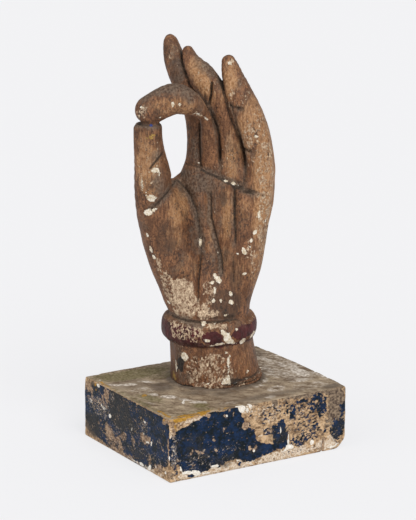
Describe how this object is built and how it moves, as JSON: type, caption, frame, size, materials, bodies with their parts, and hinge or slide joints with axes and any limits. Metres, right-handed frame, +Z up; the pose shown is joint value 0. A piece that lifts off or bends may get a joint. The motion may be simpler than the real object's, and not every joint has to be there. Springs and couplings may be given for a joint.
{
  "type": "carved wooden hand on a block",
  "caption": "Carved and once painted wooden left hand, thumb and second finger meeting in a loop, bangle at the wrist, upright on a rectangular timber block.",
  "frame": {"origin": "centre of the block's footprint, on the surface it stands on", "axes": "+Z up through the hand; the block's wide face looks towards -Y and its narrow end towards -X"},
  "size_m": [0.2073, 0.1683, 0.4015],
  "materials": {
    "carved_wood": "worn matt wood with old gesso and paint",
    "painted_block": "worn blue paint over gesso on weathered wood"
  },
  "bodies": {
    "root": {"hand": "carved_wood", "plinth": "painted_block"}
  },
  "joints": []
}
